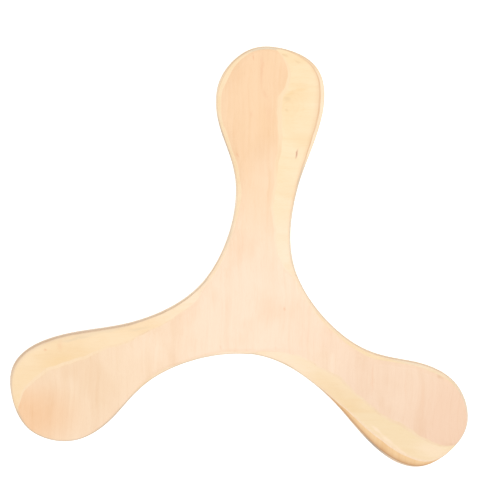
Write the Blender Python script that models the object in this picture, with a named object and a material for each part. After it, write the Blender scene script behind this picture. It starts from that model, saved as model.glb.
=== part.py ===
"""Three-blade boomerang of five-ply birch plywood, right-handed, standing on its flat underside.

The board is five veneers with a film of glue between each pair. Its outline is the same for
each of the three blades. Every outer edge is rounded over, and each trailing edge carries a long
flat bevel, which runs out through the veneers in turn and gives the blade its aerofoil section.

+Z is up and +Y runs along the first blade. The origin is the middle of the hub, on the underside.
Sizes are in millimetres. Seen from above, the boomerang turns counter-clockwise in flight, so a
blade's leading edge is on its counter-clockwise side.
"""

import math

import bmesh
import bpy
import numpy as np
from mathutils import Vector

MILLIMETRE = 0.001

BLADES = 3
BOARD_THICKNESS = 5.0
OUTER_VENEER = 0.8
GLUE_FILM = 0.1
JOINT_CLEARANCE = 0.02
INNER_VENEERS = 3
GLUE_FILMS = INNER_VENEERS + 1

# The first blade's share of the outline, counter-clockwise from one valley to the next.
BLADE_OUTLINE = (
    (23.7, 18.1),
    (17.6, 57.0),
    (21.5, 79.7),
    (28.6, 111.7),
    (22.1, 136.8),
    (-1.7, 145.4),
    (-17.8, 141.1),
    (-30.0, 123.9),
    (-27.6, 98.8),
    (-15.8, 67.0),
)
STEPS_PER_SPAN = 6

# The rounded edge: its width on top, how far down the board is widest, and how full the curve is.
# The chamfer underneath is as high as it is wide.
EDGE_WIDTH = 4.5
WIDEST_DEPTH = 2.8
EDGE_FULLNESS = 1.45
UNDERSIDE_CHAMFER = 0.4
CHAMFER_DEPTH = BOARD_THICKNESS - UNDERSIDE_CHAMFER

# The trailing bevel falls from the crest line and ends this far down at the edge.
BEVEL_DEPTH = 2.0
CREST_HEIGHTS = (35.0, 95.0, 140.0)
CREST_OFFSETS = (6.5, -5.0, -1.7)
BEVEL_STARTS = 15.0
BEVEL_FULL = 41.0

TALLEST_STEP = 0.45
SHARP_ANGLE = math.radians(30)

VENEER_ROUGHNESS = 0.6
GLUE_ROUGHNESS = 0.4
FACE_COLOUR = (0.84, 0.68, 0.49)
CROSS_COLOUR = (0.93, 0.78, 0.52)
CORE_COLOUR = (0.80, 0.60, 0.40)
GLUE_COLOUR = (0.36, 0.20, 0.10)


def clear_scene():
    for item in list(bpy.data.objects):
        bpy.data.objects.remove(item, do_unlink=True)


def turned(points, angle):
    """Points turned about the Z axis, counter-clockwise."""
    c, s = math.cos(angle), math.sin(angle)
    return points @ np.array([[c, s], [-s, c]])


def closed_spline(points, steps):
    """A closed curve through the points: (positions, directions), with steps samples per span.

    Each span is a cubic, and the slopes are solved so that the curvature is continuous.
    """
    count = len(points)
    following = np.roll(points, -1, axis=0)
    spans = np.sqrt(np.linalg.norm(following - points, axis=1))
    matrix = np.zeros((count, count))
    right = np.zeros((count, 2))
    for i in range(count):
        before, after = spans[i - 1], spans[i]
        matrix[i, i - 1] = 1 / before
        matrix[i, i] = 2 / before + 2 / after
        matrix[i, (i + 1) % count] = 1 / after
        right[i] = 3 * (points[i] - points[i - 1]) / before**2
        right[i] += 3 * (following[i] - points[i]) / after**2
    slopes = np.linalg.solve(matrix, right)
    positions, directions = [], []
    for i in range(count):
        start, end = points[i], following[i]
        leave = slopes[i] * spans[i]
        arrive = slopes[(i + 1) % count] * spans[i]
        for s in np.arange(steps) / steps:
            positions.append(
                (2 * s**3 - 3 * s**2 + 1) * start
                + (s**3 - 2 * s**2 + s) * leave
                + (3 * s**2 - 2 * s**3) * end
                + (s**3 - s**2) * arrive
            )
            directions.append(
                6 * (s**2 - s) * (start - end)
                + (3 * s**2 - 4 * s + 1) * leave
                + (3 * s**2 - 2 * s) * arrive
            )
    return np.array(positions), np.array(directions)


def whole_outline():
    """(positions, inward normals) of the board's widest outline, blade after blade."""
    blade = np.array(BLADE_OUTLINE)
    corners = [turned(blade, math.tau * i / BLADES) for i in range(BLADES)]
    positions, directions = closed_spline(np.vstack(corners), STEPS_PER_SPAN)
    directions /= np.linalg.norm(directions, axis=1)[:, None]
    return positions, np.column_stack([-directions[:, 1], directions[:, 0]])


def edge_inset(depth):
    """How far the rounded edge stands in from the widest outline, at this depth below the top."""
    if depth > WIDEST_DEPTH:
        return max(0.0, depth - CHAMFER_DEPTH)
    height = 1 - depth / WIDEST_DEPTH
    return EDGE_WIDTH * (1 - (1 - height**EDGE_FULLNESS) ** (1 / EDGE_FULLNESS))


def bevel_strength(y):
    """0 at the valley and 1 along the blade, with a soft start."""
    s = np.clip((y - BEVEL_STARTS) / (BEVEL_FULL - BEVEL_STARTS), 0, 1)
    return s * s * (3 - 2 * s)


def level_curve(depth, outline, inward):
    """The board's outline where a level plane cuts it, this far below the top."""
    curve = outline + inward * edge_inset(depth)
    share = max(0.0, 1 - depth / BEVEL_DEPTH)
    crest = np.polyfit(CREST_HEIGHTS, CREST_OFFSETS, 2)
    per_blade = len(curve) // BLADES
    for i in range(BLADES):
        angle = math.tau * i / BLADES
        span = slice(i * per_blade, (i + 1) * per_blade)
        local = turned(curve[span], -angle)
        past_crest = np.maximum(0, local[:, 0] - np.polyval(crest, local[:, 1]))
        local[:, 0] -= share * bevel_strength(local[:, 1]) * past_crest
        curve[span] = turned(local, angle)
    return curve


def ring_depths(top, bottom):
    """Depths of a layer's rings, with one at each break in the edge's section."""
    breaks = (BEVEL_DEPTH, WIDEST_DEPTH, CHAMFER_DEPTH)
    stops = [top, *(depth for depth in breaks if top < depth < bottom), bottom]
    depths = [top]
    for start, end in zip(stops, stops[1:]):
        steps = math.ceil((end - start) / TALLEST_STEP)
        depths.extend(np.linspace(start, end, steps + 1)[1:])
    return depths


def wood_material(name, colour, roughness):
    material = bpy.data.materials.new(name)
    material.use_nodes = True
    shader = material.node_tree.nodes["Principled BSDF"]
    shader.inputs["Base Color"].default_value = (*colour, 1)
    shader.inputs["Roughness"].default_value = roughness
    shader.inputs["Metallic"].default_value = 0
    return material


def level_loop(bm, depth, outline, inward):
    """The level curve at this depth as a closed loop: (vertices, edges)."""
    height = BOARD_THICKNESS - depth
    curve = level_curve(depth, outline, inward)
    vertices = [bm.verts.new(Vector((x, y, height)) * MILLIMETRE) for x, y in curve]
    edges = [bm.edges.new(pair) for pair in zip(vertices, vertices[1:] + vertices[:1])]
    return vertices, edges


def make_layer(name, top, bottom, material, outline, inward):
    """One veneer or glue film: the slice of the board between two depths."""
    bm = bmesh.new()
    loops = [level_loop(bm, depth, outline, inward) for depth in ring_depths(top, bottom)]
    for (_, upper), (_, lower) in zip(loops, loops[1:]):
        bmesh.ops.bridge_loops(bm, edges=upper + lower)
    for vertices, _ in (loops[0], loops[-1]):
        bm.faces.new(vertices)
    bmesh.ops.recalc_face_normals(bm, faces=bm.faces)
    mesh = bpy.data.meshes.new(name)
    bm.to_mesh(mesh)
    bm.free()
    mesh.shade_smooth()
    mesh.set_sharp_from_angle(angle=SHARP_ANGLE)
    mesh.materials.append(material)
    bpy.context.scene.collection.objects.link(bpy.data.objects.new(name, mesh))


def make_board():
    """Veneers and glue films from the top down, each a clearance below the last."""
    outer = wood_material("outer_veneer", FACE_COLOUR, VENEER_ROUGHNESS)
    cross = wood_material("cross_veneer", CROSS_COLOUR, VENEER_ROUGHNESS)
    core = wood_material("core_veneer", CORE_COLOUR, VENEER_ROUGHNESS)
    glue = wood_material("glue", GLUE_COLOUR, GLUE_ROUGHNESS)
    joints = GLUE_FILMS * (GLUE_FILM + 2 * JOINT_CLEARANCE)
    inner_veneer = (BOARD_THICKNESS - 2 * OUTER_VENEER - joints) / INNER_VENEERS
    layers = (
        ("face_veneer", OUTER_VENEER, outer),
        ("glue_film_1", GLUE_FILM, glue),
        ("upper_crossband", inner_veneer, cross),
        ("glue_film_2", GLUE_FILM, glue),
        ("core_veneer", inner_veneer, core),
        ("glue_film_3", GLUE_FILM, glue),
        ("lower_crossband", inner_veneer, cross),
        ("glue_film_4", GLUE_FILM, glue),
        ("back_veneer", OUTER_VENEER, outer),
    )
    outline, inward = whole_outline()
    depth = 0.0
    for name, thickness, material in layers:
        make_layer(name, depth, depth + thickness, material, outline, inward)
        depth += thickness + JOINT_CLEARANCE


clear_scene()
make_board()
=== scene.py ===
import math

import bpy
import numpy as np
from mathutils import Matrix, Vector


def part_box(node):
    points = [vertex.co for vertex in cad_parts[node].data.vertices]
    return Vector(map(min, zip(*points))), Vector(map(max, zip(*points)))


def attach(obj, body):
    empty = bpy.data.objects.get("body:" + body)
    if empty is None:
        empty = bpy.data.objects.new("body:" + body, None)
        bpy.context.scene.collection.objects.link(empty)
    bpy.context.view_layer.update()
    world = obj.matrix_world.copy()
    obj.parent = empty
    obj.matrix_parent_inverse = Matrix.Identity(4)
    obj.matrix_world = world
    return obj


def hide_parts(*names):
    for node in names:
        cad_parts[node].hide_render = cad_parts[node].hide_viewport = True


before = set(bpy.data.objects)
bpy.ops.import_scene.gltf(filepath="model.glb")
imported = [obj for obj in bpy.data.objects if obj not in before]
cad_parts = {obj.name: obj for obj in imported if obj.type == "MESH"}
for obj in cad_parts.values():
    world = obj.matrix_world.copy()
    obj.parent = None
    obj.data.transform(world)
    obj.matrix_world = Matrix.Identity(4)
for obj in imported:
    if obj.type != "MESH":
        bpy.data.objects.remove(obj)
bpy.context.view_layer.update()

# The looks of a three-blade boomerang of five-ply birch, cut and sanded by hand.
#
# Every CAD veneer and glue film is replaced by a finely meshed one at the same depth. The CAD has
# three equal blades. Here each blade has its own small errors of cutting, and its own bevel, whose
# run through the plies draws the bands of colour. Sizes are in millimetres unless a name or a
# comment says otherwise. A blade's own frame has +Y along the blade and +X towards its trailing edge.

MILLIMETRE = 0.001

# Top to bottom: the CAD node, the record's slot and the material.
LAYERS = (
    ("face_veneer", "outer_veneer", "face"),
    ("glue_film_1", "glue", "soaked"),
    ("upper_crossband", "cross_veneer", "cross"),
    ("glue_film_2", "glue", "thin_glue"),
    ("core_veneer", "core_veneer", "core"),
    ("glue_film_3", "glue", "glue"),
    ("lower_crossband", "cross_veneer", "lower"),
    ("glue_film_4", "glue", "glue"),
    ("back_veneer", "outer_veneer", "back"),
)

# One blade's share of the outline, as in the CAD: counter-clockwise from one valley to the next.
BLADE_OUTLINE = (
    (23.7, 18.1),
    (17.6, 57.0),
    (21.5, 79.7),
    (28.6, 111.7),
    (22.1, 136.8),
    (-1.7, 145.4),
    (-17.8, 141.1),
    (-30.0, 123.9),
    (-27.6, 98.8),
    (-15.8, 67.0),
)
STEPS_PER_SPAN = 30
TRAILING_POINTS = 6
NECK_POINTS = (1, 9)

# The rounded edge: how far down the board is widest, how full the curve is, and the radius below.
WIDEST_DEPTH = 2.8
EDGE_FULLNESS = 1.45
UNDERSIDE_RADIUS = 0.6

# The cutting errors grow from nothing to their full size along this stretch of each blade.
ERRORS_START = 15.0
ERRORS_FULL = 55.0

# Each blade, counter-clockwise: the errors of its cutting, its edges and its bevel. The errors are an
# angle in degrees, three scales, a shift to the side, and the scale of the valley before the blade.
# They were fitted to the outline in the photo, and rounded. The edge width is how far the rounding
# reaches in on top, as (number of the outline point, width). The bevel's face line is where the face
# veneer ends, as (y, x). The core line and the lower line are where the core veneer starts and ends,
# as (y, distance in from the trailing edge).
BLADES = (
    {
        "turn": 0.666,
        "reach": 0.9947,
        "width": 0.999,
        "neck": 0.996,
        "side": 1.24,
        "valley": 1.02,
        "edge_width": (
            (0, 4.0), (3, 5.0), (4, 4.0), (5, 2.2), (6, 4.0), (7, 5.6), (8, 5.6), (10, 4.0),
        ),
        "face_line": (
            (12, 40), (18, 22.5), (22, 17.2), (27, 13.6), (34, 11.2), (43, 9.2), (56, 7.0),
            (77, 7.0), (100, 7.2), (118, 5.0), (127, 7.4), (134, 5.6), (144, -1.5),
        ),
        "core_line": ((30, 0.8), (69, 1.0), (80, 1.5), (137, 1.5), (145, 0.8)),
        "lower_line": ((30, 0.3), (80, 0.2), (137, 0.2), (145, 0.2)),
    },
    {
        "turn": -0.65,
        "reach": 0.9974,
        "width": 1.012,
        "neck": 0.986,
        "side": -1.16,
        "valley": 0.978,
        "edge_width": (
            (0, 4.0), (4, 4.4), (5, 3.0), (6, 1.6), (7, 1.6), (8, 2.2), (10, 4.0),
        ),
        "face_line": (
            (12, 40), (18, 22.5), (23, 17.6), (29, 14.2), (37, 11.6), (55, 9.6), (71, 8.9), (87, 10.2),
            (112, 11.4), (121, 12.6), (130, 8.6), (138, 4.6), (144, -1.5),
        ),
        "core_line": ((30, 0.6), (55, 0.6), (80, 0.7), (125, 0.6), (145, 0.6)),
        "lower_line": ((30, 0.2), (80, 0.2), (125, 0.2), (145, 0.2)),
    },
    {
        "turn": 0.085,
        "reach": 0.9978,
        "width": 0.972,
        "neck": 1.005,
        "side": 0.30,
        "valley": 0.996,
        "edge_width": (
            (0, 4.0), (4, 4.0), (5, 2.4), (6, 1.3), (7, 2.6), (8, 4.4), (10, 4.0),
        ),
        "face_line": (
            (12, 40), (18, 23), (24, 17.0), (35, 10.6), (51, 7.4), (64, 6.2), (78, 7.6), (94, 9.6),
            (112, 8.5), (126, 6.4), (138, 1.6), (145, -2.0),
        ),
        "core_line": ((30, 0.9), (68, 1.0), (82, 2.8), (96, 4.6), (113, 6.3), (131, 5.6), (145, 1.3)),
        "lower_line": ((30, 0.3), (75, 0.4), (100, 0.9), (130, 1.0), (145, 0.3)),
    },
)
# How deep the bevel goes, and how much each stretch between two lines steepens on its way down.
BEVEL_DEPTH = 3.8
ROLL = (1.0, 1.15, 1.9, 1.0)
# The crest, where the bevel starts, lies in from the face line by this share of the distance from
# there to the core line. Near the top it spreads further in, and so ends softly.
CREST_RATIO = 0.7
CREST_SPREAD = 2.5
CREST_SOFT_DEPTH = 0.35
# The width over which the bevel and the rounded edge melt into each other.
CORNER_SOFTNESS = 0.6
# At its full depth the bevel lies this far outside the trailing edge, so it has run out.
EDGE_MARGIN = 1.0
# The lines run together over the last stretch before the tip, where there is always some room.
TIP_BLEND = 28.0
LEAST_ROOM = 0.01

# Unevenness left by the rasp and the sandpaper. The rasp's is (wavelength along the outline, share
# of the rounding), and the bevel's is (wavelength along the blade, distance to the side).
RASP_WAVES = ((61.0, 0.16), (37.0, 0.112), (17.0, 0.064))
BEVEL_WAVES = ((23.0, 0.35), (9.0, 0.18))
# Each use of the waves starts at its own place in them. The core line wavers less than the face line.
RASP_START = 0.9
FACE_LINE_START = 1.0
CORE_LINE_START = 2.0
CORE_LINE_CALM = 3
WAVE_STEP = 1.7

# The rings of a layer's mesh lie at most this far apart in depth. The face veneer has this many.
RING_STEP = 0.12
TOP_RINGS = 14
SHARP_ANGLE = math.radians(35)

# The direction of the grain in the face, the core and the back, and in the two crossbands.
GRAIN = math.radians(95.5)
CROSS_GRAIN = GRAIN - math.radians(90)

# The camera stands where the photo was taken from, as a fit of the outline gave it, rounded.
CAMERA_TURN = math.radians(5.14)
CAMERA_PITCH = math.radians(-12.1)
CAMERA_YAW = math.radians(-3.95)
CAMERA_SHIFT = (-0.3, 29.5)
CAMERA_DISTANCE = 1308
CAMERA_LENS = 167.8
CAMERA_CLIP_METRES = (0.05, 50)

# The studio, in metres and watts: a sheet of pale paper that glows a little, an even white sky and
# one soft lamp.
FLOOR_HALF = 4.0
FLOOR_GREY = 0.93
FLOOR_GLOW = 0.3
FLOOR_ROUGHNESS = 0.9
FLOOR_SPECULAR = 0.1
SKY_STRENGTH = 1.16
LAMP_SIZE = 0.7
LAMP_POWER = 4.0
LAMP_PLACE = (0.5, 0.6, 1.5)
WHITE = (1, 1, 1, 1)


# ---------------------------------------------------------------- shape


def turned(points, angle):
    """Points turned about the Z axis, counter-clockwise."""
    c, s = math.cos(angle), math.sin(angle)
    return points @ np.array([[c, s], [-s, c]])


def closed_spline(points, steps):
    """A closed curve through the points: (positions, directions), with steps samples per span.

    Each span is a cubic, and the slopes are solved so that the curvature is continuous.
    """
    count = len(points)
    following = np.roll(points, -1, axis=0)
    spans = np.sqrt(np.linalg.norm(following - points, axis=1))
    matrix = np.zeros((count, count))
    right = np.zeros((count, 2))
    for i in range(count):
        before, after = spans[i - 1], spans[i]
        matrix[i, i - 1] = 1 / before
        matrix[i, i] = 2 / before + 2 / after
        matrix[i, (i + 1) % count] = 1 / after
        right[i] = 3 * (points[i] - points[i - 1]) / before**2
        right[i] += 3 * (following[i] - points[i]) / after**2
    slopes = np.linalg.solve(matrix, right)
    positions, directions = [], []
    for i in range(count):
        start, end = points[i], following[i]
        leave = slopes[i] * spans[i]
        arrive = slopes[(i + 1) % count] * spans[i]
        for s in np.arange(steps) / steps:
            positions.append(
                (2 * s**3 - 3 * s**2 + 1) * start
                + (s**3 - 2 * s**2 + s) * leave
                + (3 * s**2 - 2 * s**3) * end
                + (s**3 - s**2) * arrive
            )
            directions.append(
                6 * (s**2 - s) * (start - end)
                + (3 * s**2 - 4 * s + 1) * leave
                + (3 * s**2 - 2 * s) * arrive
            )
    return np.array(positions), np.array(directions)


def smooth_line(stations, at):
    """The smooth line through (y, value) stations, read at these y, and level past its ends."""
    y, value = np.array(stations, float).T
    slopes = np.gradient(value, y)
    at = np.clip(at, y[0], y[-1])
    i = np.clip(np.searchsorted(y, at, side="right") - 1, 0, len(y) - 2)
    span = y[i + 1] - y[i]
    s = (at - y[i]) / span
    return (
        (2 * s**3 - 3 * s**2 + 1) * value[i]
        + (s**3 - 2 * s**2 + s) * span * slopes[i]
        + (3 * s**2 - 2 * s**3) * value[i + 1]
        + (s**3 - s**2) * span * slopes[i + 1]
    )


def waves(distance, kinds, start):
    """A sum of sine waves, each (wavelength, size), that starts differently for each use."""
    total = np.zeros_like(distance)
    for n, (length, size) in enumerate(kinds):
        total += size * np.sin(math.tau * distance / length + start * (n + WAVE_STEP))
    return total


def blade_angle(index):
    return math.tau * index / len(BLADES) + math.radians(BLADES[index]["turn"])


def cut_blade(blade):
    """One blade's outline points in its own frame, with the errors of its cutting."""
    points = np.array(BLADE_OUTLINE)
    points[0] *= blade["valley"]
    points[NECK_POINTS, 0] *= blade["neck"]
    share = np.clip((points[:, 1] - ERRORS_START) / (ERRORS_FULL - ERRORS_START), 0, 1)
    x = points[:, 0] * (1 + (blade["width"] - 1) * share) + blade["side"] * share
    y = points[:, 1] * (1 + (blade["reach"] - 1) * share)
    return np.column_stack([x, y])


class Board:
    """The sanded board: its widest outline, and the level curves of its surface."""

    def __init__(self, thickness):
        self.thickness = thickness
        corners = [turned(cut_blade(blade), blade_angle(i)) for i, blade in enumerate(BLADES)]
        self.outline, directions = closed_spline(np.vstack(corners), STEPS_PER_SPAN)
        directions /= np.linalg.norm(directions, axis=1)[:, None]
        self.inward = np.column_stack([-directions[:, 1], directions[:, 0]])
        steps = np.linalg.norm(np.roll(self.outline, -1, axis=0) - self.outline, axis=1)
        self.distance = np.concatenate([[0], np.cumsum(steps)[:-1]])
        self.per_blade = len(self.outline) // len(BLADES)
        self.trailing = [self.trailing_edge(i) for i in range(len(BLADES))]
        number = np.arange(self.per_blade) / STEPS_PER_SPAN
        widths = [smooth_line(blade["edge_width"], number) for blade in BLADES]
        self.edge_width = np.concatenate(widths)

    def span(self, index):
        return slice(index * self.per_blade, (index + 1) * self.per_blade)

    def trailing_edge(self, index):
        """(y, x) samples of a blade's trailing edge in its own frame, in order of y."""
        local = turned(self.outline[self.span(index)], -blade_angle(index))
        edge = local[: (TRAILING_POINTS - 1) * STEPS_PER_SPAN]
        return np.maximum.accumulate(edge[:, 1]), edge[:, 0]

    def round_inset(self, depth):
        """How far the rounded edge stands in from the widest outline, all along it."""
        above_underside = self.thickness - depth
        if depth <= WIDEST_DEPTH:
            height = 1 - depth / WIDEST_DEPTH
            inset = self.edge_width * (1 - (1 - height**EDGE_FULLNESS) ** (1 / EDGE_FULLNESS))
        elif above_underside < UNDERSIDE_RADIUS:
            drop = UNDERSIDE_RADIUS - above_underside
            inset = UNDERSIDE_RADIUS - math.sqrt(UNDERSIDE_RADIUS**2 - drop**2)
        else:
            inset = 0.0
        return inset * (1 + waves(self.distance, RASP_WAVES, RASP_START))

    def bevel_limit(self, index, depth, y, inset):
        """How far out the bevel lets the surface reach, as x at each y.

        The y is stretched by the inset, so that the tip of every level curve counts as the tip of
        the blade. All the lines run together there, one inside the other.
        """
        blade = BLADES[index]
        tip_y, tip_x = (samples[-1] for samples in self.trailing[index])
        y = y * (1 + inset / (tip_y - inset))
        edge = np.interp(y, *self.trailing[index])
        face = smooth_line(blade["face_line"], y)
        face += waves(y, BEVEL_WAVES, index + FACE_LINE_START)
        core = edge - smooth_line(blade["core_line"], y)
        core += waves(y, BEVEL_WAVES, index + CORE_LINE_START) / CORE_LINE_CALM
        lower = edge - smooth_line(blade["lower_line"], y)
        crest = face - CREST_RATIO * (core - face)
        crest -= CREST_SPREAD * max(0.0, 1 - depth / CREST_SOFT_DEPTH) ** 2
        near_tip = np.clip(1 - (tip_y - y) / TIP_BLEND, 0, 1)
        near_tip = near_tip**2 * (3 - 2 * near_tip)
        room = np.maximum(edge - tip_x, LEAST_ROOM)
        stops = (0.0, FACE_DEPTH, CORE_DEPTH, LOWER_DEPTH, BEVEL_DEPTH)
        lines = []
        for line in (crest, face, core, lower):
            share = (edge - line) / room
            nested = edge - room * share / np.sqrt(1 + share**2)
            lines.append(line + (nested - line) * near_tip)
        lines.append(edge + EDGE_MARGIN)
        for i in range(len(stops) - 1):
            if stops[i] <= depth <= stops[i + 1]:
                share = (depth - stops[i]) / (stops[i + 1] - stops[i])
                share = 1 - (1 - share) ** ROLL[i]
                limit = lines[i] + (lines[i + 1] - lines[i]) * share
        return limit

    def level_curve(self, depth):
        """The closed curve where a level plane this far below the top cuts the surface."""
        inset = self.round_inset(depth)
        curve = self.outline + self.inward * inset[:, None]
        if depth > BEVEL_DEPTH:
            return curve
        for i in range(len(BLADES)):
            local = turned(curve[self.span(i)], -blade_angle(i))
            past = local[:, 0] - self.bevel_limit(i, depth, local[:, 1], inset[self.span(i)])
            local[:, 0] -= (past + np.sqrt(past**2 + CORNER_SOFTNESS**2)) / 2
            curve[self.span(i)] = turned(local, blade_angle(i))
        return curve


def ring_depths(top, bottom, is_face):
    """Depths of a layer's rings: crowded towards the flat top of the face, and even elsewhere."""
    if is_face:
        return [top + (bottom - top) * (i / TOP_RINGS) ** 2 for i in range(TOP_RINGS + 1)]
    return list(np.linspace(top, bottom, math.ceil((bottom - top) / RING_STEP) + 1))


def layer_mesh(name, board, top, bottom):
    """The closed mesh of the slice of the board between two depths."""
    is_face = top == 0
    rings = [(depth, board.level_curve(depth)) for depth in ring_depths(top, bottom, is_face)]
    count = len(board.outline)
    points = [
        (x * MILLIMETRE, y * MILLIMETRE, (board.thickness - depth) * MILLIMETRE)
        for depth, curve in rings
        for x, y in curve
    ]
    faces = []
    for ring in range(len(rings) - 1):
        upper, lower = ring * count, (ring + 1) * count
        for i in range(count):
            j = (i + 1) % count
            faces.append((upper + i, lower + i, lower + j, upper + j))
    faces.append(tuple(range(count)))
    last = (len(rings) - 1) * count
    faces.append(tuple(last + i for i in reversed(range(count))))
    mesh = bpy.data.meshes.new(name)
    mesh.from_pydata(points, [], faces)
    mesh.validate()
    mesh.shade_smooth()
    mesh.set_sharp_from_angle(angle=SHARP_ANGLE)
    return mesh


# ---------------------------------------------------------------- materials

# How a place wanders: (scale of the noise, its detail, distance).
RIPPLE = (0.22, 2.0, 2.4)
SWAY = (0.03, 1.0, 6.0)
# A mark goes right through the board.
MARK_DEPTH = 1000
# The noises that draw the grain: (length, width, offset, detail, roughness, distortion).
FIGURES = {
    "bands": (160, 9, 0, 4, 0.55, 0.6),
    "streaks": (70, 1.6, 3, 5, 0.6, 0.0),
    "fibres": (9, 0.22, 7, 3, 0.6, 0.0),
    "clouds": (34, 20, 11, 3, 0.5, 0.0),
    "pores": (3.4, 0.16, 13, 1, 0.4, 0.0),
}
# What each noise does to the colour, in order: (figure, where it starts, where it is full, shade,
# blend).
TONES = (
    ("bands", 0.50, 0.72, "dark", "MULTIPLY"),
    ("streaks", 0.50, 0.75, "dark", "MULTIPLY"),
    ("streaks", 0.50, 0.25, "light", "SCREEN"),
    ("fibres", 0.45, 0.80, "dark", "MULTIPLY"),
    ("clouds", 0.45, 0.70, "dark", "MULTIPLY"),
)
PORE_RANGE = (0.66, 0.80)
END_GRAIN_SLOPE = (0.02, 0.5)
WOOD_ROUGHNESS = (0.50, 0.66)
END_ROUGHNESS = 0.15
WOOD_SPECULAR = 0.35
FIBRE_RELIEF = 0.6
STREAK_RELIEF = 0.6
PORE_RELIEF = 0.8
BUMP_STRENGTH = 0.35
BUMP_METRES = 0.00006
# The noise that breaks up a glue line, as (length, width, offset, detail, roughness), and where it
# starts to darken the line, where it is full, and how strong.
GLUE_FIGURE = (5, 2.5, 2, 3, 0.6)
GLUE_BREAKS = (0.65, 0.35, 0.6)
GLUE_ROUGHNESS = (0.35, 0.55)
GLUE_SPECULAR = 0.4


def put(tree, kind, inputs=(), **settings):
    """A new shader node. A value is linked where it is a socket, and else set on the socket."""
    node = tree.nodes.new("ShaderNode" + kind)
    for key, value in settings.items():
        setattr(node, key, value)
    for key, value in dict(inputs).items():
        if isinstance(value, bpy.types.NodeSocket):
            tree.links.new(value, node.inputs[key])
        else:
            node.inputs[key].default_value = value
    return node


def maths(tree, operation, first, second=0.0):
    return put(tree, "Math", {0: first, 1: second}, operation=operation).outputs[0]


def mixed(tree, share, first, second, blend="MIX"):
    """The first colour turned towards the second by the share."""
    node = put(tree, "Mix", data_type="RGBA", blend_type=blend, clamp_factor=True)
    for index, value in ((0, share), (6, first), (7, second)):
        if isinstance(value, bpy.types.NodeSocket):
            tree.links.new(value, node.inputs[index])
        elif index == 0:
            node.inputs[index].default_value = value
        else:
            node.inputs[index].default_value = (*value, 1)
    return node.outputs[2]


def ramped(tree, value, low, high, top=1.0):
    """0 below low and top above high, with a soft start and end."""
    inputs = {"Value": value, "From Min": low, "From Max": high, "To Min": 0.0, "To Max": top}
    return put(tree, "MapRange", inputs, interpolation_type="SMOOTHSTEP").outputs[0]


def stretched(tree, vector, along, across, offset=0.0):
    """The grain coordinates in units of a figure's length and width."""
    scale = (1 / along, 1 / across, 1 / across)
    inputs = {"Vector": vector, "Scale": scale, "Location": (offset, offset, offset)}
    return put(tree, "Mapping", inputs).outputs[0]


def noise(tree, vector, detail=3.0, roughness=0.5, distortion=0.0):
    inputs = {
        "Vector": vector,
        "Scale": 1.0,
        "Detail": detail,
        "Roughness": roughness,
        "Distortion": distortion,
    }
    return put(tree, "TexNoise", inputs).outputs[0]


def mark(tree, place, centre, length, width, angle):
    """1 at the centre of an oval mark and 0 at its rim. The length lies at the angle."""
    inputs = {
        "Vector": place,
        "Location": (*centre, 0),
        "Rotation": (0, 0, angle),
        "Scale": (length / 2, width / 2, MARK_DEPTH),
    }
    local = put(tree, "Mapping", inputs, vector_type="TEXTURE").outputs[0]
    sphere = put(tree, "TexGradient", {"Vector": local}, gradient_type="SPHERICAL")
    return sphere.outputs[1]


def new_material(name):
    material = bpy.data.materials.new(name)
    material.use_nodes = True
    tree = material.node_tree
    return material, tree, tree.nodes["Principled BSDF"]


def wandered(tree, place, scale, detail, distance):
    """The place, moved this way and that by a noise, up to about half the distance."""
    inputs = {"Vector": place, "Scale": scale, "Detail": detail}
    colour = put(tree, "TexNoise", inputs).outputs[1]
    centred = put(tree, "VectorMath", {0: colour, 1: (0.5, 0.5, 0.5)}, operation="SUBTRACT")
    inputs = {0: centred.outputs[0], "Scale": distance}
    offset = put(tree, "VectorMath", inputs, operation="SCALE")
    return put(tree, "VectorMath", {0: place, 1: offset.outputs[0]}, operation="ADD").outputs[0]


def place_and_grain(tree, angle):
    """(millimetres, slightly warped), (millimetres along the grain, across it, up)."""
    metres = put(tree, "TexCoord").outputs["Object"]
    inputs = {"Vector": metres, "Scale": (1 / MILLIMETRE, 1 / MILLIMETRE, 1 / MILLIMETRE)}
    plain = put(tree, "Mapping", inputs).outputs[0]
    inputs = {"Vector": wandered(tree, plain, *SWAY), "Rotation": (0, 0, -angle)}
    return wandered(tree, plain, *RIPPLE), put(tree, "Mapping", inputs).outputs[0]


def height(tree):
    """Millimetres above the underside."""
    place = put(tree, "TexCoord").outputs["Object"]
    return maths(tree, "DIVIDE", put(tree, "SeparateXYZ", {0: place}).outputs["Z"], MILLIMETRE)


def end_grain(tree, angle):
    """How much the surface cuts across the grain: 0 along it, and 1 on a clear slope."""
    normal = put(tree, "TexCoord").outputs["Normal"]
    direction = (math.cos(angle), math.sin(angle), 0)
    slope = put(tree, "VectorMath", {0: normal, 1: direction}, operation="DOT_PRODUCT")
    return ramped(tree, maths(tree, "ABSOLUTE", slope.outputs["Value"]), *END_GRAIN_SLOPE)


def steepness(tree):
    """0 where the board is nearly flat, and 1 on its steep outer edge."""
    normal = put(tree, "TexCoord").outputs["Normal"]
    up = put(tree, "SeparateXYZ", {0: normal}).outputs["Z"]
    return ramped(tree, maths(tree, "ABSOLUTE", up), FLAT_ENOUGH, STEEP)


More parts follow.
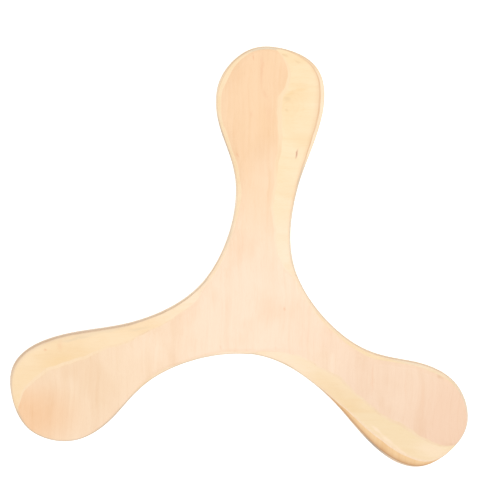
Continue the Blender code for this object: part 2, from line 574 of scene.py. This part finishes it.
def birch(name, angle, base, offset, shades):
    """A birch veneer. base(tree, place, grain) gives its colour before the figure of the grain."""
    material, tree, shader = new_material(name)
    place, grain = place_and_grain(tree, angle)
    colour = base(tree, place, grain)
    # Painted shade: where the board turns steep at its outer edge, its colour turns to the darker rim
    # colour.
    share = maths(tree, "MULTIPLY", steepness(tree), shades["rim"])
    colour = mixed(tree, share, colour, rim_shade_base(tree, place))
    figures = {}
    for figure, (along, across, start, *character) in FIGURES.items():
        vector = stretched(tree, grain, along, across, offset + start)
        figures[figure] = noise(tree, vector, *character)
    for figure, low, high, shade, blend in TONES:
        share = ramped(tree, figures[figure], low, high, shades[figure])
        colour = mixed(tree, share, colour, shades[shade], blend)
    pores = ramped(tree, figures["pores"], *PORE_RANGE, shades["pores"])
    colour = mixed(tree, pores, colour, shades["pore"])
    ends = end_grain(tree, angle)
    share = maths(tree, "MULTIPLY", ends, shades["end"])
    colour = mixed(tree, share, colour, shades["end_colour"], "MULTIPLY")
    tree.links.new(colour, shader.inputs["Base Color"])
    smoothest, roughest = WOOD_ROUGHNESS
    inputs = {"Value": figures["streaks"], "To Min": smoothest, "To Max": roughest}
    rough = put(tree, "MapRange", inputs).outputs[0]
    rough = maths(tree, "ADD", rough, maths(tree, "MULTIPLY", ends, END_ROUGHNESS))
    tree.links.new(rough, shader.inputs["Roughness"])
    shader.inputs["Specular IOR Level"].default_value = WOOD_SPECULAR
    fibres = maths(tree, "MULTIPLY", figures["fibres"], FIBRE_RELIEF)
    streaks = maths(tree, "MULTIPLY", figures["streaks"], STREAK_RELIEF)
    relief = maths(tree, "ADD", fibres, streaks)
    relief = maths(tree, "SUBTRACT", relief, maths(tree, "MULTIPLY", pores, PORE_RELIEF))
    inputs = {"Height": relief, "Strength": BUMP_STRENGTH, "Distance": BUMP_METRES}
    tree.links.new(put(tree, "Bump", inputs).outputs[0], shader.inputs["Normal"])
    return material


# The tones of each kind of layer, and how strongly each noise, the end grain and the rim's painted shade
# show.
FACE_SHADES = {
    "dark": (0.93, 0.86, 0.78),
    "light": (0.10, 0.09, 0.07),
    "pore": (0.58, 0.36, 0.22),
    "end_colour": (0.90, 0.84, 0.77),
    "bands": 0.35,
    "streaks": 0.35,
    "fibres": 0.5,
    "clouds": 0.45,
    "pores": 0.25,
    "end": 0.25,
    "rim": 0.75,
}
CROSS_SHADES = FACE_SHADES | {
    "dark": (0.95, 0.87, 0.74),
    "pore": (0.62, 0.42, 0.22),
    "bands": 0.22,
    "streaks": 0.22,
    "end": 0.3,
}
CORE_SHADES = FACE_SHADES | {
    "dark": (0.90, 0.80, 0.68),
    "end_colour": (0.84, 0.72, 0.60),
    "end": 0.7,
    "rim": 0.6,
}
LOWER_SHADES = CROSS_SHADES | {"rim": 0.35}
BACK_SHADES = FACE_SHADES | {"end": 0.5, "rim": 0.35}

# The colour of each veneer at the hub, and on each blade in turn.
FACE_COLOURS = (
    (0.82, 0.630, 0.480), (0.778, 0.545, 0.344), (0.772, 0.586, 0.413), (0.755, 0.562, 0.416),
)
CROSS_COLOURS = ((0.82, 0.66, 0.495), (0.80, 0.643, 0.43), (0.78, 0.602, 0.392), (0.742, 0.58, 0.37))
CORE_COLOURS = ((0.78, 0.64, 0.48), (0.80, 0.66, 0.48), (0.74, 0.57, 0.41), (0.76, 0.62, 0.46))
# The rim colours are painted shade on the steep outer edge.
RIM_SHADE_COLOURS = ((0.55, 0.475, 0.385), (0.53, 0.455, 0.36), (0.44, 0.345, 0.26), (0.58, 0.50, 0.405))
LOWER_COLOURS = ((0.78, 0.65, 0.49), (0.77, 0.64, 0.48), (0.56, 0.44, 0.34), (0.55, 0.41, 0.29))
# On the third blade the thin glue line is pale: partly chipped wood, and partly a painted highlight
# along the bend of the bevel.
FILM_COLOURS = ((0.76, 0.60, 0.43), (0.68, 0.45, 0.265), (0.62, 0.47, 0.33), (0.77, 0.60, 0.435))
GLUE_COLOURS = ((0.58, 0.44, 0.30), (0.56, 0.42, 0.28), (0.46, 0.35, 0.26), (0.44, 0.31, 0.20))
FILM_DARK = (0.93, 0.86, 0.78)
GLUE_DARK = (0.80, 0.70, 0.60)

# Colours of single places.
TIP_ORANGE = (0.755, 0.488, 0.29)
TIP_ROSY = (0.73, 0.508, 0.363)
FACE_DEEP = (0.765, 0.515, 0.30)
CROSS_DEEP = (0.76, 0.55, 0.30)
CROSS_PALE = (0.82, 0.655, 0.50)
EDGE_PALE = (0.73, 0.61, 0.47)
# The pale band streaks are partly chipped wood and partly a painted highlight along the bend in the
# third blade's bevel.
BAND_PALE_HIGHLIGHT = (0.83, 0.66, 0.51)
CORE_ORANGE = (0.745, 0.515, 0.285)
RIM_PALE = (0.77, 0.63, 0.45)
# Rim brown is partly darker wood and partly painted shade, where the third blade's bevel turns from the
# lamp.
RIM_BROWN = (0.50, 0.29, 0.15)
GREY_TAN = (0.66, 0.53, 0.37)
KNOT_BROWN = (0.52, 0.32, 0.16)
STREAK_RED = (0.73, 0.44, 0.27)
STREAK_DARK = (0.52, 0.27, 0.18)
# A dark grey-brown for painted shade along the edges.
PAINTED_EDGE_SHADE = (0.27, 0.23, 0.20)

# Large oval areas: (centre, length, width, angle). Each fades in as (0 at its rim, full at this
# share of the way to its centre, and strength if not full).
ROSY_TIP = ((124, -60), 70, 90, 0)
ROSY_FADE = (0.0, 0.7, 0.8)
ORANGE_TIP = ((-122, -76), 84, 52, math.radians(10))
ORANGE_FADE = (0.0, 0.8, 0.9)
PALE_EDGE = ((84, -10), 130, 34, math.radians(-22))
PALE_EDGE_FADE = (0.0, 0.5, 0.8)
PALE_RIM = ((29, 118), 110, 24, math.radians(86))
BAND_CENTRE = (80, -76)
BAND_ANGLE = math.radians(-30)
BAND_LENGTH = 120
CORE_BAND = (BAND_CENTRE, BAND_LENGTH, 40, BAND_ANGLE)
RIM_BAND = (BAND_CENTRE, BAND_LENGTH, 34, BAND_ANGLE)
BAND_FADE = (0.0, 0.4)

# Marks in the wood, and marks of painted shade: (centre, length, width, degrees from the face's grain,
# strength, colour).
# A mark fades in from its rim, and is full at this share of the way to its centre.
MARK_FULL = 0.9
FACE_MARKS = (
    ((-7.8, 131.5), 26, 3.0, 0, 0.50, STREAK_RED),
    ((-4.6, 118.5), 12, 3.6, 20, 0.30, STREAK_RED),
    ((-1.5, 108.5), 18, 7.0, 10, 0.30, STREAK_RED),
    ((-13.2, 138.5), 4.5, 1.4, 0, 0.8, STREAK_RED),
    ((6.2, 98.5), 6, 1.4, -5, 0.6, KNOT_BROWN),
    ((-16.2, 83.6), 4, 1.6, 10, 0.6, STREAK_RED),
    ((-11.0, 107.0), 5, 3.0, 0, 0.35, STREAK_RED),
    ((18.8, -0.8), 3.4, 2.6, 0, 0.5, STREAK_RED),
    ((-14.8, -26.3), 4, 2.0, 30, 0.15, KNOT_BROWN),
    ((16.0, -23.5), 4, 1.6, 0, 0.15, STREAK_RED),
    ((72.9, -37.0), 26, 2.2, 0, 0.25, STREAK_RED),
    ((92.3, -40.3), 22, 1.8, 0, 0.18, STREAK_RED),
    ((103.0, -46.0), 30, 2.4, 0, 0.15, STREAK_RED),
    ((111.3, -32.4), 6.0, 3.0, 60, 0.30, KNOT_BROWN),
    ((-16.0, 36.0), 40, 16.0, -14, 0.55, CROSS_PALE),
    ((-47.5, -26.0), 52, 30.0, -78, 0.40, CROSS_PALE),
    ((43.0, -29.5), 36, 22.0, -128, 0.50, CROSS_PALE),
    ((-1.0, 78.0), 44, 24.0, 0, 0.30, CROSS_PALE),
    ((-2.0, 104.0), 34, 20.0, 0, 0.35, FACE_DEEP),
)
CROSS_MARKS = (
    ((7.6, 117.0), 4.4, 5.4, 0, 0.21, KNOT_BROWN),
    ((8.6, 111.2), 2.4, 2.4, 0, 0.25, KNOT_BROWN),
    ((9.6, 120.6), 3.4, 8.5, 28, 0.5, CROSS_DEEP),
    ((15.0, 122.9), 3.4, 9.5, 12, 0.5, CROSS_DEEP),
    ((16.4, 87.0), 8.5, 1.7, -16, 0.85, STREAK_DARK),
    ((3.4, 140.8), 1.8, 7.0, -8, 0.26, KNOT_BROWN),
    ((11.4, 138.0), 1.8, 6.0, -25, 0.20, KNOT_BROWN),
    ((-111.8, -36.6), 2.6, 2.2, 0, 0.7, STREAK_RED),
    ((-104.0, -33.0), 9, 5.0, 0, 0.25, STREAK_RED),
    ((-95.4, -28.3), 28, 3.0, -78, 0.60, GREY_TAN),
    ((-61.0, -19.8), 18, 2.4, -80, 0.40, GREY_TAN),
    ((-78.0, -22.4), 30, 4.0, -80, 0.35, GREY_TAN),
    ((10.0, 106.0), 26, 16.0, 0, 0.30, CROSS_DEEP),
    ((60.0, -43.5), 60, 18, -133, 0.22, CROSS_PALE),
    ((79.2, -66.8), 13, 2.8, -132, 0.60, BAND_PALE_HIGHLIGHT),
    ((86.0, -72.2), 14, 3.0, -131, 0.60, BAND_PALE_HIGHLIGHT),
    ((94.0, -77.9), 14, 2.6, -130, 0.55, BAND_PALE_HIGHLIGHT),
    ((113.0, -76.0), 36, 16, -105, 0.45, CROSS_PALE),
    ((-104.0, -42.0), 26, 9.0, -76, 0.40, CROSS_DEEP),
    ((86.0, -55.0), 30, 9.0, -115, 0.35, CROSS_DEEP),
)
# The core and side marks are painted shade: dark lines along edges that turn from the lamp, and where
# the board meets the floor.
CORE_SHADE_MARKS = (
    ((-24.4, 87.0), 46, 7.0, 14, 0.80, PAINTED_EDGE_SHADE),
    ((19.5, 72.0), 40, 7.0, -10, 0.45, PAINTED_EDGE_SHADE),
    ((-88.0, -79.0), 70, 12.0, 100, 0.35, PAINTED_EDGE_SHADE),
)
BACK_MARKS = (((-60.0, -40.0), 5, 3.4, 10, 0.9, KNOT_BROWN),)
SIDE_SHADE_MARKS = (
    ((78.5, -76.5), 30, 9, -137, 0.7, PAINTED_EDGE_SHADE),
    ((-23.5, 86.0), 50, 16, 14, 1.0, PAINTED_EDGE_SHADE),
    ((-88.0, -76.0), 70, 20, 100, 0.5, PAINTED_EDGE_SHADE),
)
# A blade's own colour is fullest this far out, and fades over these distances.
TINT_CENTRE = 112.0
TINT_REACH = 106.0
TINT_WIDTH = 70.0
TINT_RANGE = (0.04, 0.78)
# The rim's painted shade starts where the normal's rise falls below the first, and is full at the
# second.
FLAT_ENOUGH = 0.84
STEEP = 0.50
# Where the face veneer was sanded thinner than this, the ply under it shows through.
SHOWS_THROUGH = 0.14
THIN_SHARE = 0.7
# The lowest part of the upper crossband takes up glue. Along the third blade's bevel, the core turns
# brown towards its glue: partly darker wood, and partly painted shade where the bevel turns from the
# lamp.
SOAKED_HEIGHT = 0.25
SOAKED_SHARE = 0.5
BROWN_HEIGHT = 0.95
BROWN_SHARE = 0.95
# The first glue line takes this much of its colour from the ply under it.
GLUE_FROM_BELOW = 0.6
# The grain swirls round the knot in rings.
KNOT_CENTRE = (9.0, 113.0)
KNOT_ACROSS = 24.0
RING_TURNS = 26.0
RING_RANGE = (0.2, 1.0, 0.14)
SWIRL_FADE = (0.0, 0.35)
# The slow changes of colour in the back and in the upper crossband: the noise, as (length, width,
# offset, detail, roughness), and where it starts, where it is full, and how strong if not full.
WARM_FIGURE = (240, 60, 31, 1, 0.4)
WARM_RANGE = (0.35, 0.65)
DEEP_FIGURE = (60, 12, 5, 2, 0.5)
DEEP_RANGE = (0.40, 0.70, 0.2)


def add_marks(tree, place, colour, marks):
    for centre, length, width, slant, strength, tint in marks:
        spot = mark(tree, place, centre, length, width, GRAIN + math.radians(slant))
        colour = mixed(tree, ramped(tree, spot, 0.0, MARK_FULL, strength), colour, tint)
    return colour


def by_blade(tree, place, colours):
    """The colour at the hub, turning into each blade's own colour along that blade."""
    colour = colours[0]
    for i, tint in enumerate(colours[1:]):
        angle = blade_angle(i)
        centre = (-TINT_CENTRE * math.sin(angle), TINT_CENTRE * math.cos(angle))
        near = mark(tree, place, centre, 2 * TINT_WIDTH, 2 * TINT_REACH, angle)
        colour = mixed(tree, ramped(tree, near, *TINT_RANGE), colour, tint)
    return colour


def one_figure(tree, grain, kind):
    """A noise drawn out along the grain: (length, width, offset, detail, roughness)."""
    along, across, offset, detail, roughness = kind
    return noise(tree, stretched(tree, grain, along, across, offset), detail, roughness)


def face_base(tree, place, grain):
    """Pale on the hub, orange and rosy at two tips, and yellow where it was sanded thin."""
    colour = by_blade(tree, place, FACE_COLOURS)
    rosy = ramped(tree, mark(tree, place, *ROSY_TIP), *ROSY_FADE)
    colour = mixed(tree, rosy, colour, TIP_ROSY)
    orange = ramped(tree, mark(tree, place, *ORANGE_TIP), *ORANGE_FADE)
    colour = mixed(tree, orange, colour, TIP_ORANGE)
    bottom = THICKNESS - FACE_DEPTH
    thin = ramped(tree, height(tree), bottom + SHOWS_THROUGH, bottom)
    share = maths(tree, "MULTIPLY", thin, THIN_SHARE)
    colour = mixed(tree, share, colour, by_blade(tree, place, CROSS_COLOURS))
    return add_marks(tree, place, colour, FACE_MARKS)


def back_base(tree, place, grain):
    """The underside: an even birch face, a little warmer here and there, with one small knot."""
    warm = ramped(tree, one_figure(tree, grain, WARM_FIGURE), *WARM_RANGE)
    colour = mixed(tree, warm, FACE_COLOURS[0], FACE_COLOURS[1])
    return add_marks(tree, place, colour, BACK_MARKS)


def cross_base(tree, place, grain):
    """Yellower wood, with a small knot and the swirl of the grain round it."""
    colour = by_blade(tree, place, CROSS_COLOURS)
    deep = ramped(tree, one_figure(tree, grain, DEEP_FIGURE), *DEEP_RANGE)
    colour = mixed(tree, deep, colour, CROSS_DEEP)
    pale = ramped(tree, mark(tree, place, *PALE_EDGE), *PALE_EDGE_FADE)
    colour = mixed(tree, pale, colour, EDGE_PALE)
    swirl = mark(tree, place, KNOT_CENTRE, KNOT_ACROSS, KNOT_ACROSS, 0)
    rings = maths(tree, "SINE", maths(tree, "MULTIPLY", swirl, RING_TURNS))
    near = ramped(tree, swirl, *SWIRL_FADE)
    share = maths(tree, "MULTIPLY", ramped(tree, rings, *RING_RANGE), near)
    colour = mixed(tree, share, colour, CROSS_DEEP)
    bottom = THICKNESS - CORE_DEPTH
    low = ramped(tree, height(tree), bottom + SOAKED_HEIGHT, bottom, SOAKED_SHARE)
    colour = mixed(tree, low, colour, by_blade(tree, place, FILM_COLOURS))
    return add_marks(tree, place, colour, CROSS_MARKS)


def core_base(tree, place, grain):
    """Tan wood, with painted shade along three edges. The third blade's bevel is orange, and brown lower
    down.
    """
    colour = by_blade(tree, place, CORE_COLOURS)
    bevel = ramped(tree, mark(tree, place, *CORE_BAND), *BAND_FADE)
    colour = mixed(tree, bevel, colour, CORE_ORANGE)
    # Partly painted shade: the third blade's bevel browns lower down, where it turns from the lamp.
    bottom = THICKNESS - LOWER_DEPTH
    low = ramped(tree, height(tree), bottom + BROWN_HEIGHT, bottom, BROWN_SHARE)
    colour = mixed(tree, maths(tree, "MULTIPLY", low, bevel), colour, RIM_BROWN)
    return add_marks(tree, place, colour, CORE_SHADE_MARKS)


def rim_shade_base(tree, place):
    """Painted shade on the steep outer edge: grey, but pale along one stretch, brown along one, and
    darker on three.
    """
    colour = by_blade(tree, place, RIM_SHADE_COLOURS)
    pale = ramped(tree, mark(tree, place, *PALE_RIM), *BAND_FADE)
    colour = mixed(tree, pale, colour, RIM_PALE)
    brown = ramped(tree, mark(tree, place, *RIM_BAND), *BAND_FADE)
    colour = mixed(tree, brown, colour, RIM_BROWN)
    return add_marks(tree, place, colour, SIDE_SHADE_MARKS)


def lower_base(tree, place, grain):
    """The lower crossband: greyed on the second and third blades, and darkened with painted shade in
    three places.
    """
    colour = by_blade(tree, place, LOWER_COLOURS)
    return add_marks(tree, place, colour, SIDE_SHADE_MARKS)


def soaked_base(tree, place, grain):
    """The first glue line, which took up wood colour on both sides and hardly shows."""
    above = by_blade(tree, place, FACE_COLOURS)
    below = by_blade(tree, place, CROSS_COLOURS)
    return mixed(tree, GLUE_FROM_BELOW, above, below)


def glue_material(name, colours, dark):
    """A glue line, darker in broken stretches."""
    material, tree, shader = new_material(name)
    place, grain = place_and_grain(tree, GRAIN)
    broken = one_figure(tree, grain, GLUE_FIGURE)
    colour = by_blade(tree, place, colours)
    colour = mixed(tree, ramped(tree, broken, *GLUE_BREAKS), colour, dark, "MULTIPLY")
    tree.links.new(colour, shader.inputs["Base Color"])
    smoothest, roughest = GLUE_ROUGHNESS
    inputs = {"Value": broken, "To Min": smoothest, "To Max": roughest}
    tree.links.new(put(tree, "MapRange", inputs).outputs[0], shader.inputs["Roughness"])
    shader.inputs["Specular IOR Level"].default_value = GLUE_SPECULAR
    return material


def make_materials():
    """Each material by its key in LAYERS. The offset puts each veneer elsewhere in the noises."""
    return {
        "face": birch("face_birch", GRAIN, face_base, 0.0, FACE_SHADES),
        "soaked": birch("soaked_birch", GRAIN, soaked_base, 40.0, FACE_SHADES),
        "cross": birch("cross_birch", CROSS_GRAIN, cross_base, 80.0, CROSS_SHADES),
        "core": birch("core_birch", GRAIN, core_base, 120.0, CORE_SHADES),
        "back": birch("back_birch", GRAIN, back_base, 160.0, BACK_SHADES),
        "lower": birch("lower_birch", CROSS_GRAIN, lower_base, 200.0, LOWER_SHADES),
        "thin_glue": glue_material("thin_glue_line", FILM_COLOURS, FILM_DARK),
        "glue": glue_material("glue_line", GLUE_COLOURS, GLUE_DARK),
    }


# ---------------------------------------------------------------- studio


def link(item):
    bpy.context.scene.collection.objects.link(item)
    return item


def make_floor():
    far = FLOOR_HALF
    mesh = bpy.data.meshes.new("floor")
    corners = [(-far, -far, 0), (far, -far, 0), (far, far, 0), (-far, far, 0)]
    mesh.from_pydata(corners, [], [(0, 1, 2, 3)])
    material, _, shader = new_material("floor_paper")
    shader.inputs["Base Color"].default_value = (FLOOR_GREY, FLOOR_GREY, FLOOR_GREY, 1)
    shader.inputs["Emission Color"].default_value = WHITE
    shader.inputs["Emission Strength"].default_value = FLOOR_GLOW
    shader.inputs["Roughness"].default_value = FLOOR_ROUGHNESS
    shader.inputs["Specular IOR Level"].default_value = FLOOR_SPECULAR
    mesh.materials.append(material)
    link(bpy.data.objects.new("floor", mesh))


def make_lights():
    world = bpy.data.worlds.new("studio")
    bpy.context.scene.world = world
    world.use_nodes = True
    background = world.node_tree.nodes["Background"]
    background.inputs["Color"].default_value = WHITE
    background.inputs["Strength"].default_value = SKY_STRENGTH
    lamp = bpy.data.lights.new("key", "AREA")
    lamp.size = LAMP_SIZE
    lamp.energy = LAMP_POWER
    key = link(bpy.data.objects.new("key", lamp))
    key.location = LAMP_PLACE
    key.rotation_euler = key.location.to_track_quat("Z", "Y").to_euler()
    bpy.context.scene.view_settings.view_transform = "Standard"


def make_camera():
    lens = bpy.data.cameras.new("camera")
    lens.lens = CAMERA_LENS
    lens.clip_start, lens.clip_end = CAMERA_CLIP_METRES
    camera = link(bpy.data.objects.new("camera", lens))
    aim = Matrix.Rotation(CAMERA_TURN, 4, "Z")
    aim = aim @ Matrix.Rotation(CAMERA_PITCH, 4, "X") @ Matrix.Rotation(CAMERA_YAW, 4, "Y")
    offset = Vector((*CAMERA_SHIFT, CAMERA_DISTANCE)) * MILLIMETRE
    camera.matrix_world = aim @ Matrix.Translation(offset)
    bpy.context.scene.camera = camera


# ---------------------------------------------------------------- the object


def stack():
    """(thickness of the board, depth of each layer's top and bottom), from the CAD, in mm.

    The CAD leaves a hair's breadth between the layers. Here each reaches down to the next.
    """
    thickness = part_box(LAYERS[0][0])[1].z / MILLIMETRE
    tops = [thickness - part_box(node)[1].z / MILLIMETRE for node, _, _ in LAYERS]
    return thickness, list(zip(tops, [*tops[1:], thickness]))


THICKNESS, SPANS = stack()
SPAN_OF = {node: span for (node, _, _), span in zip(LAYERS, SPANS)}
FACE_DEPTH = sum(SPAN_OF["glue_film_1"]) / 2
CORE_DEPTH = sum(SPAN_OF["glue_film_2"]) / 2
LOWER_DEPTH = sum(SPAN_OF["glue_film_3"]) / 2


def make_board():
    board = Board(THICKNESS)
    materials = make_materials()
    for (node, slot, material), (top, bottom) in zip(LAYERS, SPANS):
        mesh = layer_mesh("sanded_" + node, board, top, bottom)
        mesh.materials.append(materials[material])
        piece = link(bpy.data.objects.new("sanded_" + node, mesh))
        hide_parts(node)
        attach(piece, "root")


make_board()
make_floor()
make_lights()
make_camera()
